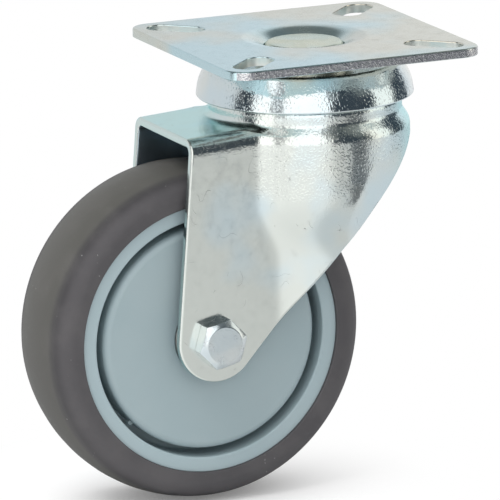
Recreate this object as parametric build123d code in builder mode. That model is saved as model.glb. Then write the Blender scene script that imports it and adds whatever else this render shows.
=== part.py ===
from build123d import *
import os
from math import acos, asin, atan2, ceil, cos, degrees, hypot, pi, radians, sin, tan

# Swivel castor with a screw-on plate, a pressed fork on a double ball race and a 75 mm wheel.
# The origin is the centre of the plate's mounting face, on the swivel axis, with +Z up. The wheel
# trails towards -X and its axle lies along Y. Lengths are in millimetres.
os.makedirs("parts", exist_ok=True)

# ---------------------------------------------------------------- driving dimensions
# The castor as it is sold: these and the head's sizes make it stand 100 high
wheel_diameter = 75.0
tyre_width = 25.0
trail = 28.8  # swivel axis to axle
crown_clearance = 5.7  # top of the wheel to the hood's front edge
leg_clearance = 1.5  # tyre to leg

# Top plate, with a diagonal slot for a bolt at each corner
plate_length = 60.0
plate_width = 60.0
plate_sheet = 2.0
plate_corner = 5.0
plate_edge = 0.4  # rolled-over top edge left by shearing
slot_width = 6.4
slot_edge = 2.8  # plate left outside the slot
slot_reach = 5.0  # how far the bolt can move along X, and as far along Y
dish_depth = 3.0
dish_head_gap = 0.3  # round the kingpin's head
dish_slope_width = 2.2
dish_slope = 40.0  # degrees from flat
dish_lip_bend = 6.0  # inside bend, under the plate

# Swivel head
ball_diameter = 5.0
lower_pitch_radius = 11.3
web_flank = 43.8  # degrees from flat, between the two races
race_clearance = 0.04  # ball to race
ball_gap = 0.03  # half the play from ball to ball
head_gap = 1.0  # race cup to the fork's web
cup_sheet = 1.7
cup_wall = 0.76  # outside the balls' groove
cup_flare = 2.4
cup_rim_sheet = 1.0
cup_shoulder_bend = 0.8
cup_depth = 7.6
lower_race_sheet = 1.8
lower_race_land = 1.9  # lower pitch circle to the race's edge
lower_race_rise = 3.5
lower_race_flank = 60.0  # degrees from flat
lower_race_bend = 0.7  # inside bend
corner_step = 30.0  # degrees turned by each short cone of a rounded corner
kingpin_radius = 5.0
kingpin_collar_radius = 6.9
kingpin_head_radius = 8.6
kingpin_head_thickness = 1.3
kingpin_head_chamfer = 0.3
kingpin_foot_radius = 6.2
kingpin_foot_thickness = 2.0
fit_clearance = 0.03  # radial, for pieces that are pressed or riveted together

# Fork, pressed from one sheet
fork_sheet = 2.0
web_hole_radius = 9.0
neck_land = 3.0  # upper pitch circle to the outside of the neck
neck_height = 4.2  # rim of the web down to the crease under the neck
bowl_flare = 1.7
bowl_flare_height = 2.6
bowl_waist = 3.2  # how far the bowl draws in towards the legs
bowl_waist_drop = 42.0
bowl_belly_drop = 26.5
neck_bend = 2.2
crease_bend = 1.5
bowl_bend = 4.0
belly_bend = 14.0
waist_bend = 30.0
hood_front_top = 17.3  # below the mounting face, at the front edge
hood_rise = 0.9  # from the front edge to the neck
hood_bend = 1.2  # inside bend
hood_front_x = -34.2
axle_end_radius = 9.1
back_edge_drop = 21.2  # lower edge of the short skirt behind the swivel axis
back_edge_set_in = 2.6  # from the back of the bowl
back_edge_round = 5.0

# Wheel
tread_lean = 14.5  # degrees, fall of the tread towards its shoulders
tyre_crown = 32.0  # bend that rounds the middle of the tread
tyre_shoulder = 4.5
tyre_thickness = 7.4
rim_wall = 3.2
rim_set_back = 0.7  # from the tyre's side
web_thickness = 6.0
hub_radius = 12.0
hub_cap_gap = 0.1
rib_count = 6
rib_sheet = 2.0
rib_cap_gap = 0.3
rib_skirt_gap = 0.5
cap_gap = 1.85  # dark groove between rim and cap
cap_set_back = 0.9  # from the tyre's side
cap_sheet = 1.8
cap_edge = 0.8
cap_hole_gap = 0.5  # round the bush's flange
seat_gap = 0.05  # between faces that rest on each other
bush_radius = 6.5
bush_flange_radius = 7.8
bush_flange = 1.0
bush_length = 8.0
bearing_clearance = 0.05  # radial, bush on axle tube
side_clearance = 0.2  # bush flange to spacer

# Axle
bolt_diameter = 6.0
bolt_proud = 0.8  # past the nut
bolt_head_across_flats = 10.0
bolt_head_height = 4.0
bolt_head_turn = 17.0  # degrees, one corner leans back from straight up
head_face_share = 0.82  # chamfer circle over across flats
bolt_point = 0.6
hole_clearance = 0.1  # radial, bolt in leg and tube
axle_tube_radius = 4.5
spacer_radius = 7.0
washer_radius = 6.0
washer_thickness = 1.2
nut_height = 4.4
nut_collar_radius = 4.7
nut_collar_height = 1.6
nut_ring_radius = 3.9
nut_ring_height = 1.4

# ---------------------------------------------------------------- worked out from them
ball_radius = ball_diameter / 2
groove_radius = ball_radius + race_clearance
wheel_radius = wheel_diameter / 2
axle_drop = hood_front_top + fork_sheet + crown_clearance + wheel_radius
axle_point = (-trail, -axle_drop)  # in the side view, X and Z
tyre_half = tyre_width / 2
leg_inner = tyre_half + leg_clearance
leg_face = leg_inner + fork_sheet

dish_floor = -dish_depth
cup_top = dish_floor - plate_sheet
cup_under = cup_top - cup_sheet
cup_rim_z = cup_top - cup_depth
web_top = cup_under - head_gap
web_under = web_top - fork_sheet
upper_ball_z = cup_under - groove_radius
lower_ball_z = web_under - groove_radius
rim_top = upper_ball_z - groove_radius
rim_under = rim_top - fork_sheet
bend = tan(radians(web_flank) / 2)
web_step = web_top - rim_top
race_step = (2 * groove_radius + fork_sheet) * bend + web_step * (1 / bend - bend) / 2
upper_pitch_radius = lower_pitch_radius + race_step
cup_shoulder_radius = upper_pitch_radius + groove_radius + cup_wall
cup_rim_radius = cup_shoulder_radius + cup_flare
shank_bore = kingpin_radius + fit_clearance


def tangent_point(start, centre, radius, side):
    """Where the line from start touches a circle, side 1 or -1 for its two sides."""
    dx = start[0] - centre[0]
    dz = start[1] - centre[1]
    swing = atan2(dz, dx) + side * acos(radius / hypot(dx, dz))
    return (centre[0] + radius * cos(swing), centre[1] + radius * sin(swing))


def stepped_corners(points, radii):
    """The outline with its inner corners rounded in straight steps that touch the bend's arc.

    Revolved, each step is a cone, with a tenth of the facets of a rounded bend.
    """
    outline = [points[0]]
    for before, corner, after, radius in zip(points, points[1:], points[2:], radii):
        arrive = atan2(corner[1] - before[1], corner[0] - before[0])
        leave = atan2(after[1] - corner[1], after[0] - corner[0])
        turn = (leave - arrive + pi) % (2 * pi) - pi
        steps = max(2, ceil(abs(degrees(turn)) / corner_step)) if radius else 1
        half_step = radius * tan(abs(turn) / steps / 2)
        run_back = radius * tan(abs(turn) / 2) - half_step
        point = (corner[0] - run_back * cos(arrive), corner[1] - run_back * sin(arrive))
        outline.append(point)
        for step in range(1, steps):
            heading = arrive + turn * step / steps
            point = (
                point[0] + 2 * half_step * cos(heading),
                point[1] + 2 * half_step * sin(heading),
            )
            outline.append(point)
    return outline + [points[-1]]


def axle_plane(y):
    """Plane square to the axle at this y: its normal runs along -Y and its X along the row's X."""
    return Plane(origin=(-trail, y, -axle_drop), x_dir=(1, 0, 0), z_dir=(0, -1, 0))


def save(piece, name):
    """Name the piece and write its file."""
    piece.part.label = name
    export_step(piece.part, f"parts/{name}.step")


# Half-section plane of everything that turns about the axle: X is the radius, Y is along +Y.
wheel_section = Plane(origin=(-trail, 0, -axle_drop), x_dir=(0, 0, 1), z_dir=(-1, 0, 0))
axle = Axis((-trail, 0, -axle_drop), (0, 1, 0))


# ---------------------------------------------------------------- top plate
# Sheared flat blank. Its centre is drawn down into a dish, over a rounded lip and a steep wall,
# so that the kingpin's head lies below the mounting face.
dish_floor_radius = kingpin_head_radius + dish_head_gap
dish_lip_radius = dish_floor_radius + dish_slope_width
dish_outer_bend = dish_lip_bend + plate_sheet
dish_mouth_radius = dish_lip_radius + dish_outer_bend * tan(radians(dish_slope) / 2)
dish_wall_top = -dish_slope_width * tan(radians(dish_slope))
slot_set_in = slot_edge + slot_width / 2 + slot_reach / 2
slot_x = plate_length / 2 - slot_set_in
slot_y = plate_width / 2 - slot_set_in

with BuildPart() as top_plate:
    with BuildSketch():
        RectangleRounded(plate_length, plate_width, plate_corner)
        Circle(dish_mouth_radius, mode=Mode.SUBTRACT)
        for side in (1, -1):
            with Locations((side * slot_x, slot_y), (-side * slot_x, -slot_y)):
                SlotCenterToCenter(
                    slot_reach * 2**0.5, slot_width, rotation=side * 45, mode=Mode.SUBTRACT
                )
    extrude(amount=-plate_sheet)
    chamfer(top_plate.faces().sort_by(Axis.Z)[-1].outer_wire().edges(), length=plate_edge)
    with BuildSketch(Plane.XZ):
        with BuildLine():
            Polyline(
                stepped_corners(
                    [
                        (dish_mouth_radius, 0),
                        (dish_lip_radius, 0),
                        (dish_floor_radius, dish_wall_top),
                        (dish_floor_radius, dish_floor),
                        (shank_bore, dish_floor),
                    ],
                    [dish_outer_bend, 0, 0],
                )
            )
            offset(amount=plate_sheet, side=Side.LEFT, kind=Kind.INTERSECTION)
        make_face()
    revolve(axis=Axis.Z)
save(top_plate, "top_plate")


# ---------------------------------------------------------------- race cup
# Cold formed ring, clamped under the plate. Its inside corner is coined to the balls' groove and
# its skirt flares out over the fork's neck and keeps dirt off the race.
with BuildPart() as race_cup:
    with BuildSketch(Plane.XZ):
        with BuildLine():
            Polyline(
                stepped_corners(
                    [
                        (shank_bore, cup_top),
                        (cup_shoulder_radius, cup_top),
                        (cup_rim_radius, cup_rim_z),
                        (cup_rim_radius - cup_rim_sheet, cup_rim_z),
                        (upper_pitch_radius + groove_radius, upper_ball_z),
                        (upper_pitch_radius + groove_radius, cup_under),
                        (shank_bore, cup_under),
                    ],
                    [cup_shoulder_bend, 0, 0, 0, groove_radius],
                ),
                close=True,
            )
        make_face()
    revolve(axis=Axis.Z)
save(race_cup, "race_cup")


# ---------------------------------------------------------------- balls
# Both races are full: as many balls as fit round the pitch circle. Each ball has flat faces, eight
# round its middle, so that the two rings stay light; its corners lie on the true ball.
ball_sides = 8
half_facet = pi / ball_sides
ball_waist = ball_radius * cos(half_facet)
ball_tip = ball_radius * sin(half_facet)

with BuildPart() as ball:
    with BuildSketch():
        RegularPolygon(ball_waist, ball_sides)
    extrude(amount=ball_waist, both=True)
    for end in ball.faces().filter_by(Axis.Z):
        chamfer(
            end.edges(),
            length=(ball_waist - ball_tip) * cos(half_facet),
            length2=ball_waist - ball_tip,
            reference=end,
        )


def balls_round(pitch_radius):
    """How many balls a full race of this pitch radius holds."""
    return int(pi / asin((ball_radius + ball_gap) / pitch_radius))


with BuildPart(Plane.XY.offset(upper_ball_z)) as upper_balls:
    with PolarLocations(upper_pitch_radius, balls_round(upper_pitch_radius)):
        add(ball.part)
save(upper_balls, "upper_balls")

with BuildPart(Plane.XY.offset(lower_ball_z)) as lower_balls:
    with PolarLocations(lower_pitch_radius, balls_round(lower_pitch_radius)):
        add(ball.part)
save(lower_balls, "lower_balls")


# ---------------------------------------------------------------- lower race
# Pressed dish. Its raised centre is riveted to the kingpin and its rim carries the lower balls.
lower_race_floor = lower_ball_z - groove_radius
lower_race_top = lower_race_floor + lower_race_rise
flank_half = tan(radians(lower_race_flank) / 2)
flank_foot = lower_pitch_radius - groove_radius * flank_half
flank_head = flank_foot - lower_race_rise / tan(radians(lower_race_flank))

with BuildPart() as lower_race:
    with BuildSketch(Plane.XZ):
        with BuildLine():
            Polyline(
                stepped_corners(
                    [
                        (shank_bore, lower_race_top),
                        (flank_head, lower_race_top),
                        (flank_foot, lower_race_floor),
                        (lower_pitch_radius + lower_race_land, lower_race_floor),
                    ],
                    [lower_race_sheet + lower_race_bend, groove_radius],
                )
            )
            offset(amount=lower_race_sheet, side=Side.RIGHT, kind=Kind.INTERSECTION)
        make_face()
    revolve(axis=Axis.Z)
save(lower_race, "lower_race")


# ---------------------------------------------------------------- kingpin
# Stepped rivet. Its collar sets the play of the head between race cup and lower race, and both
# ends are riveted over: a flat head in the plate's dish, a foot in the lower race's hollow.
foot_top = lower_race_top - lower_race_sheet
head_top = dish_floor + kingpin_head_thickness

with BuildPart() as kingpin:
    with BuildSketch(Plane.XZ):
        with BuildLine():
            Polyline(
                (0, head_top),
                (kingpin_head_radius - kingpin_head_chamfer, head_top),
                (kingpin_head_radius, head_top - kingpin_head_chamfer),
                (kingpin_head_radius, dish_floor),
                (kingpin_radius, dish_floor),
                (kingpin_radius, cup_under),
                (kingpin_collar_radius, cup_under),
                (kingpin_collar_radius, lower_race_top),
                (kingpin_radius, lower_race_top),
                (kingpin_radius, foot_top),
                (kingpin_foot_radius, foot_top),
                (kingpin_foot_radius, foot_top - kingpin_foot_thickness),
                (0, foot_top - kingpin_foot_thickness),
                close=True,
            )
        make_face()
    revolve(axis=Axis.Z)
save(kingpin, "kingpin")


# ---------------------------------------------------------------- fork
# One sheet. The crown is drawn up into a web, an S-bend, a flat rim and the neck, and flares into
# the bowl. The bowl runs down the back as a skirt and out into the hood and the two flat legs. The
# S-bend's two hollows are the inner races: on top for the upper balls, underneath for the lower.
# Its straight flank touches both, which sets the step from one pitch circle to the other.
neck_radius = upper_pitch_radius + neck_land
bowl_radius = neck_radius + bowl_flare
bowl_waist_radius = bowl_radius - bowl_waist
neck_crease = rim_top - neck_height
bowl_top = neck_crease - bowl_flare_height
flare_drop = fork_sheet * tan(atan2(bowl_flare, bowl_flare_height) / 2)
leg_bottom = -axle_drop - axle_end_radius
hood_slope = hood_rise / (-neck_radius - hood_front_x)
block_front = hood_front_x - axle_end_radius


def hood_z(x):
    """Height of the hood's top face, which falls towards the front."""
    return -hood_front_top + hood_slope * (x - hood_front_x)


def hood_block(lowered):
    """Side view of hood and legs as one block, its top lowered by the sheet for the inside."""
    Polyline(
        (block_front, hood_z(block_front) - lowered),
        (0, hood_z(0) - lowered),
        (0, leg_bottom - axle_end_radius),
        (block_front, leg_bottom - axle_end_radius),
        close=True,
    )


def bowl_side(inset, drop):
    """Neck, flare, belly and waist of the bowl, set in by the sheet for the inside."""
    return [
        (neck_radius - inset, neck_crease - drop),
        (bowl_radius - inset, bowl_top - drop),
        (bowl_radius - inset, -bowl_belly_drop),
        (bowl_waist_radius - inset, -bowl_waist_drop),
        (bowl_waist_radius - inset, leg_bottom - drop),
        (0, leg_bottom - drop),
    ]


with BuildPart() as fork_outside:
    with BuildSketch(Plane.XZ):
        with BuildLine():
            hood_block(0)
        make_face()
    extrude(amount=leg_face, both=True)
    hood_edges = fork_outside.faces().sort_by(Axis.Z)[-1].edges().filter_by(Axis.Y, reverse=True)
    fillet(hood_edges, radius=hood_bend + fork_sheet)
    with BuildSketch(Plane.XZ):
        with BuildLine():
            Polyline(
                stepped_corners(
                    [
                        (0, web_top),
                        (lower_pitch_radius + (groove_radius + fork_sheet) * bend, web_top),
                        (upper_pitch_radius - groove_radius * bend, rim_top),
                        (neck_radius, rim_top),
                        *bowl_side(0, 0),
                    ],
                    [
                        groove_radius + fork_sheet,
                        groove_radius,
                        neck_bend,
                        crease_bend,
                        bowl_bend,
                        belly_bend,
                        waist_bend,
                        0,
                    ],
                ),
                close=True,
            )
        make_face()
    revolve(axis=Axis.Z)

with BuildPart() as fork_inside:
    with BuildSketch(Plane.XZ):
        with BuildLine():
            hood_block(fork_sheet)
        make_face()
    extrude(amount=leg_inner, both=True)
    hood_edges = fork_inside.faces().sort_by(Axis.Z)[-1].edges().filter_by(Axis.Y, reverse=True)
    fillet(hood_edges, radius=hood_bend)
    with BuildSketch(Plane.XZ):
        with BuildLine():
            Polyline(
                stepped_corners(
                    [
                        (0, web_under),
                        (lower_pitch_radius + groove_radius * bend, web_under),
                        (upper_pitch_radius - (groove_radius + fork_sheet) * bend, rim_under),
                        (neck_radius - fork_sheet, rim_under),
                        *bowl_side(fork_sheet, flare_drop),
                    ],
                    [groove_radius, groove_radius + fork_sheet, 0, 0, 0, belly_bend, waist_bend, 0],
                ),
                close=True,
            )
        make_face()
    revolve(axis=Axis.Z)

front_top = (hood_front_x, -hood_front_top)
back_corner = (bowl_radius - back_edge_set_in, -back_edge_drop)
front_touch = tangent_point(front_top, axle_point, axle_end_radius, 1)
back_touch = tangent_point(back_corner, axle_point, axle_end_radius, -1)
outline_back = bowl_radius + fork_sheet

with BuildPart() as fork:
    add(fork_outside.part)
    add(fork_inside.part, mode=Mode.SUBTRACT)
    with BuildSketch(Plane.XZ) as side_outline:
        with BuildLine():
            Polyline((hood_front_x, 0), front_top, front_touch)
            ThreePointArc(front_touch, (-trail, leg_bottom), back_touch)
            FilletPolyline(
                back_touch,
                back_corner,
                (outline_back, -back_edge_drop),
                radius=back_edge_round,
            )
            Polyline((outline_back, -back_edge_drop), (outline_back, 0), (hood_front_x, 0))
        make_face()
    extrude(amount=outline_back, both=True, mode=Mode.INTERSECT)
    with BuildSketch(Plane.XY.offset(web_top)):
        Circle(web_hole_radius)
    extrude(amount=-fork_sheet, mode=Mode.SUBTRACT)
    with BuildSketch(axle_plane(0)):
        Circle(bolt_diameter / 2 + hole_clearance)
    extrude(amount=leg_face, both=True, mode=Mode.SUBTRACT)
save(fork, "fork")


# ---------------------------------------------------------------- axle bolt
# Hexagon bolt. The head's outer face is chamfered round, and one corner leans back from upright.
corner_radius = bolt_head_across_flats / 3**0.5
face_radius = bolt_head_across_flats / 2 * head_face_share
chamfer_fall = (corner_radius - face_radius) * tan(radians(30))
washer_face = leg_face + washer_thickness
nut_collar_base = washer_face + nut_height
nut_end = nut_collar_base + nut_collar_height

with BuildPart() as axle_bolt:
    with BuildSketch(axle_plane(-leg_face)):
        RegularPolygon(corner_radius, 6, rotation=90 - bolt_head_turn)
    extrude(amount=bolt_head_height)
    with BuildSketch(wheel_section):
        with BuildLine():
            Polyline(
                (0, -leg_face),
                (corner_radius, -leg_face),
                (corner_radius, -leg_face - bolt_head_height + chamfer_fall),
                (face_radius, -leg_face - bolt_head_height),
                (0, -leg_face - bolt_head_height),
                close=True,
            )
        make_face()
    revolve(axis=axle, mode=Mode.INTERSECT)
    with BuildSketch(axle_plane(-leg_face)):
        Circle(bolt_diameter / 2)
    extrude(amount=-leg_face - nut_end - bolt_proud)
    chamfer(axle_bolt.edges().filter_by(GeomType.CIRCLE).sort_by(Axis.Y)[-1], length=bolt_point)
save(axle_bolt, "axle_bolt")


# ---------------------------------------------------------------- nut, its ring and its washer
with BuildPart() as nut_washer:
    with BuildSketch(axle_plane(leg_face)):
        Circle(washer_radius)
        Circle(bolt_diameter / 2 + hole_clearance, mode=Mode.SUBTRACT)
    extrude(amount=-washer_thickness)
save(nut_washer, "nut_washer")

with BuildPart() as lock_nut:
    with BuildSketch(axle_plane(washer_face)):
        RegularPolygon(corner_radius, 6)
    extrude(amount=-nut_height)
    with BuildSketch(wheel_section):
        with BuildLine():
            Polyline(
                (0, washer_face),
                (corner_radius, washer_face),
                (corner_radius, nut_collar_base - chamfer_fall),
                (face_radius, nut_collar_base),
                (0, nut_collar_base),
                close=True,
            )
        make_face()
    revolve(axis=axle, mode=Mode.INTERSECT)
    with BuildSketch(axle_plane(nut_collar_base)):
        Circle(nut_collar_radius)
    extrude(amount=-nut_collar_height)
    with BuildSketch(axle_plane(nut_end)):
        Circle(nut_ring_radius + fit_clearance)
    extrude(amount=nut_ring_height, mode=Mode.SUBTRACT)
    with BuildSketch(axle_plane(washer_face)):
        Circle(bolt_diameter / 2 + fit_clearance)
    extrude(amount=-nut_height - nut_collar_height, mode=Mode.SUBTRACT)
save(lock_nut, "lock_nut")

with BuildPart() as nut_ring:
    with BuildSketch(axle_plane(nut_end)):
        Circle(nut_ring_radius)
        Circle(bolt_diameter / 2 + fit_clearance, mode=Mode.SUBTRACT)
    extrude(amount=nut_ring_height)
save(nut_ring, "nut_ring")


# ---------------------------------------------------------------- axle tube and spacers
# The bolt clamps the tube between the legs. The two spacers keep the wheel central on it.
cap_width = tyre_width - 2 * cap_set_back  # outside face to outside face of the two caps
hub_width = cap_width - 2 * (cap_sheet + hub_cap_gap)
bush_face = hub_width / 2 + bush_flange
spacer_length = leg_inner - bush_face - side_clearance

with BuildPart() as axle_tube:
    with BuildSketch(axle_plane(0)):
        Circle(axle_tube_radius)
        Circle(bolt_diameter / 2 + hole_clearance, mode=Mode.SUBTRACT)
    extrude(amount=leg_inner, both=True)
save(axle_tube, "axle_tube")

for name, start, way in (("near_spacer", -leg_inner, -1), ("far_spacer", leg_inner, 1)):
    with BuildPart() as spacer:
        with BuildSketch(axle_plane(start)):
            Circle(spacer_radius)
            Circle(axle_tube_radius + fit_clearance, mode=Mode.SUBTRACT)
        extrude(amount=way * spacer_length)
    save(spacer, name)


# ---------------------------------------------------------------- tyre
# Soft tread, moulded onto the wheel centre: a low crown, round shoulders and flat sides.
rim_radius = wheel_radius - tyre_thickness
tread_slope = radians(tread_lean)
tread_peak = wheel_radius + tyre_crown * (1 / cos(tread_slope) - 1)
tread_edge = tread_peak - tyre_half * tan(tread_slope)
shoulder = min(tyre_shoulder, tread_edge - rim_radius)  # no larger than the side is high

with BuildPart() as tyre:
    with BuildSketch(wheel_section):
        with BuildLine():
            Polyline(
                stepped_corners(
                    [
                        (rim_radius, -tyre_half),
                        (tread_edge, -tyre_half),
                        (tread_peak, 0),
                        (tread_edge, tyre_half),
                        (rim_radius, tyre_half),
                    ],
                    [shoulder, tyre_crown, shoulder],
                ),
                close=True,
            )
        make_face()
    revolve(axis=axle)
save(tyre, "tyre")


# ---------------------------------------------------------------- wheel centre
# Moulded in one: rim ring, central web, hub and ribs on both sides of the web.
rim_width = tyre_width - 2 * rim_set_back
rim_inner = rim_radius - rim_wall
cap_radius = rim_inner - cap_gap
rib_end = cap_radius - cap_sheet - rib_skirt_gap
rib_width = cap_width - 2 * (cap_sheet + rib_cap_gap)

with BuildPart() as wheel_centre:
    with BuildSketch(axle_plane(0)):
        Circle(rim_radius)
        Circle(rim_inner, mode=Mode.SUBTRACT)
    extrude(amount=rim_width / 2, both=True)
    with BuildSketch(axle_plane(0)):
        Circle(rim_inner)
    extrude(amount=web_thickness / 2, both=True)
    with BuildSketch(axle_plane(0)):
        Circle(hub_radius)
    extrude(amount=hub_width / 2, both=True)
    with BuildSketch(axle_plane(0)):
        with PolarLocations(rib_end / 2, rib_count):
            Rectangle(rib_end, rib_sheet)
    extrude(amount=rib_width / 2, both=True)
    with BuildSketch(axle_plane(0)):
        Circle(bush_radius + fit_clearance)
    extrude(amount=hub_width / 2, both=True, mode=Mode.SUBTRACT)
save(wheel_centre, "wheel_centre")


# ---------------------------------------------------------------- caps
# Round press-in discs over the wheel's pockets. A skirt inside the edge stands on the web, and the
# groove between cap and rim ring stays open down to it.
cap_hole_radius = bush_flange_radius + cap_hole_gap

for name, side in (("near_cap", -1), ("far_cap", 1)):
    outer = side * cap_width / 2
    inner = side * (cap_width / 2 - cap_sheet)
    foot = side * (web_thickness / 2 + seat_gap)
    with BuildPart() as cap:
        with BuildSketch(wheel_section):
            with BuildLine():
                Polyline(
                    (cap_hole_radius, outer),
                    (cap_radius - cap_edge, outer),
                    (cap_radius, outer - side * cap_edge),
                    (cap_radius, foot),
                    (cap_radius - cap_sheet, foot),
                    (cap_radius - cap_sheet, inner),
                    (cap_hole_radius, inner),
                    close=True,
                )
            make_face()
        revolve(axis=axle)
    save(cap, name)


# ---------------------------------------------------------------- bushes
# Flanged plastic bearings, pressed into the hub from both sides. They turn on the axle tube.
for name, side in (("near_bush", -1), ("far_bush", 1)):
    with BuildPart() as bush:
        with BuildSketch(wheel_section):
            bore = axle_tube_radius + bearing_clearance
            with BuildLine():
                Polyline(
                    (bore, side * bush_face),
                    (bush_flange_radius, side * bush_face),
                    (bush_flange_radius, side * hub_width / 2),
                    (bush_radius, side * hub_width / 2),
                    (bush_radius, side * (hub_width / 2 - bush_length)),
                    (bore, side * (hub_width / 2 - bush_length)),
                    close=True,
                )
            make_face()
        revolve(axis=axle)
    save(bush, name)
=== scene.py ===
from math import acos, atan2, ceil, cos, degrees, hypot, pi, radians, sin, tan

import bpy
import numpy as np
from mathutils import Matrix, Vector


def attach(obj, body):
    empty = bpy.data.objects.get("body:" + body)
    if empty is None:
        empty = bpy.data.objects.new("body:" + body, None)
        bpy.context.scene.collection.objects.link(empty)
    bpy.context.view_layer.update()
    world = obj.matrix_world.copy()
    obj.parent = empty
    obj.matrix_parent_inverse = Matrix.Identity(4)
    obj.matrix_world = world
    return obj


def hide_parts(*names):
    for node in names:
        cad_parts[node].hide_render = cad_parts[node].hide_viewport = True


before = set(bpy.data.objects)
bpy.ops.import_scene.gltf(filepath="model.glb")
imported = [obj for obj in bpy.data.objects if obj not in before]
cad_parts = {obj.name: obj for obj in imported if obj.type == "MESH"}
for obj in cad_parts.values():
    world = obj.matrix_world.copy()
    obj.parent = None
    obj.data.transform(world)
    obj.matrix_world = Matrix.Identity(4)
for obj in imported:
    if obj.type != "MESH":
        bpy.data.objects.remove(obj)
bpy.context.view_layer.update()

# ---------------- camera
# A long lens from the near side, turned a little to the wheel's front and looking down a little.
camera_place = (-0.682548, -1.549715, 0.345827)
camera_turn = radians(-23.344)
camera_fall = radians(13.098)
camera_roll = radians(-1.095)
bpy.ops.object.select_all(action="DESELECT")
bpy.ops.object.camera_add()
camera = bpy.context.object
camera.name = "camera"
camera.matrix_world = (
    Matrix.Translation(camera_place)
    @ Matrix.Rotation(camera_turn, 4, "Z")
    @ Matrix.Rotation(pi / 2 - camera_fall, 4, "X")
    @ Matrix.Rotation(camera_roll, 4, "Z")
)
camera.data.lens = 565.3
camera.data.shift_x = -0.0013
camera.data.shift_y = 0.00044
camera.data.clip_start = 0.05
camera.data.clip_end = 20
bpy.context.scene.camera = camera

# ---------------- top plate
# Square plate sheared from 2 mm steel and slotted at its corners, its middle drawn down into a
# dish for the kingpin's head. Bright zinc plated all over; the sheared edge stays torn and rough.
mm = 0.001
plate_side = 60.0
plate_sheet = 2.0
plate_corner = 5.0
plate_roll = 0.4  # the top edge rolled over by the shear
slot_width = 6.4
slot_travel = 5.0 * 2**0.5
slot_place = 21.5
slot_roll = 0.25
dish_mouth = 14.01
dish_wall = 8.9
dish_floor = -3.0
dish_rim = 10.9
head_underside = -5.0
plate_bore = 5.03
swivel_steps = 96


def take(piece):
    """Leave only this piece selected, and make it the one worked on."""
    bpy.ops.object.select_all(action="DESELECT")
    piece.select_set(True)
    bpy.context.view_layer.objects.active = piece


def pick(piece, kind, test):
    """Open the piece for editing with the corners, edges or faces that pass the test selected."""
    take(piece)
    bpy.ops.object.mode_set(mode="EDIT")
    bpy.ops.mesh.select_mode(type=kind)
    bpy.ops.mesh.select_all(action="DESELECT")
    bpy.ops.object.mode_set(mode="OBJECT")
    mesh = piece.data
    if kind == "FACE":
        for face in mesh.polygons:
            face.select = test(face.center / mm, face.normal)
    elif kind == "EDGE":
        for edge in mesh.edges:
            start, end = (mesh.vertices[index].co for index in edge.vertices)
            edge.select = test((start + end) / (2 * mm), (end - start).normalized())
    else:
        for corner in mesh.vertices:
            corner.select = test(corner.co / mm)
    bpy.ops.object.mode_set(mode="EDIT")


def pick_all(piece):
    """Open the piece for editing with everything selected."""
    take(piece)
    bpy.ops.object.mode_set(mode="EDIT")
    bpy.ops.mesh.select_mode(type="VERT")
    bpy.ops.mesh.select_all(action="SELECT")


def done():
    bpy.ops.object.mode_set(mode="OBJECT")


def settle(piece):
    """Move the piece's place, turn and size into its mesh, and leave only it selected."""
    take(piece)
    bpy.ops.object.transform_apply(location=True, rotation=True, scale=True)
    return piece


def basic(name, add_shape, **settings):
    """Add a basic shape with nothing else selected, and settle it."""
    bpy.ops.object.select_all(action="DESELECT")
    add_shape(**settings)
    piece = settle(bpy.context.object)
    piece.name = piece.data.name = name
    return piece


def twin(piece, name):
    """A copy of the piece, with its own mesh."""
    take(piece)
    bpy.ops.object.duplicate()
    copy = bpy.context.object
    copy.name = copy.data.name = name
    return copy


def shape_with(piece, tool, operation="DIFFERENCE"):
    """Cut the tool's shape from the piece, or join or keep it, and throw the tool away."""
    take(piece)
    step = piece.modifiers.new("tool", "BOOLEAN")
    step.operation = operation
    step.object = tool
    step.solver = "EXACT"
    bpy.ops.object.modifier_apply(modifier="tool")
    bpy.data.objects.remove(tool)


def smooth_shade(piece, angle):
    """Shade the piece smooth up to the angle, its flat faces kept flat right up to their edges."""
    take(piece)
    bpy.ops.object.shade_smooth_by_angle(angle=radians(angle))
    even = piece.modifiers.new("even", "WEIGHTED_NORMAL")
    even.mode = "FACE_AREA"
    even.weight = 100
    even.keep_sharp = True
    bpy.ops.object.modifier_apply(modifier="even")


def rounded(points, radii, step=10.0):
    """The outline with each inner corner rounded to its radius, one point every step degrees."""
    path = [Vector(points[0])]
    for before, corner, after, radius in zip(points, points[1:], points[2:], radii):
        corner = Vector(corner)
        arrive = (corner - Vector(before)).normalized()
        leave = (Vector(after) - corner).normalized()
        turn = acos(max(-1.0, min(1.0, arrive.dot(leave))))
        if radius == 0 or turn < 0.001:
            path.append(corner)
            continue
        start = corner - arrive * radius * tan(turn / 2)
        inward = (leave - arrive * arrive.dot(leave)).normalized()
        centre = start + inward * radius
        count = max(2, ceil(degrees(turn) / step))
        for angle in (turn * index / count for index in range(count + 1)):
            path.append(centre - inward * radius * cos(angle) + arrive * radius * sin(angle))
    path.append(Vector(points[-1]))
    return path


def turned(name, section, place, axis, steps):
    """Draw the half section point by point, then spin it round the axis into a closed body."""
    shortest = 0.002
    spots = [place(*point) for point in section]
    piece = basic(name, bpy.ops.mesh.primitive_plane_add, size=mm, location=spots[0])
    pick_all(piece)
    bpy.ops.mesh.merge(type="CENTER")
    for start, end in zip(spots, spots[1:]):
        if (end - start).length > shortest * mm:
            bpy.ops.mesh.extrude_region_move(TRANSFORM_OT_translate={"value": end - start})
    bpy.ops.mesh.select_all(action="SELECT")
    bpy.ops.mesh.spin(steps=steps, angle=2 * pi, center=place(0, 0), axis=axis)
    bpy.ops.mesh.select_all(action="SELECT")
    bpy.ops.mesh.remove_doubles(threshold=0.001 * mm)
    bpy.ops.mesh.normals_make_consistent(inside=False)
    done()
    smooth_shade(piece, 30)
    return piece


upright = (0, 0, 1)


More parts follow.
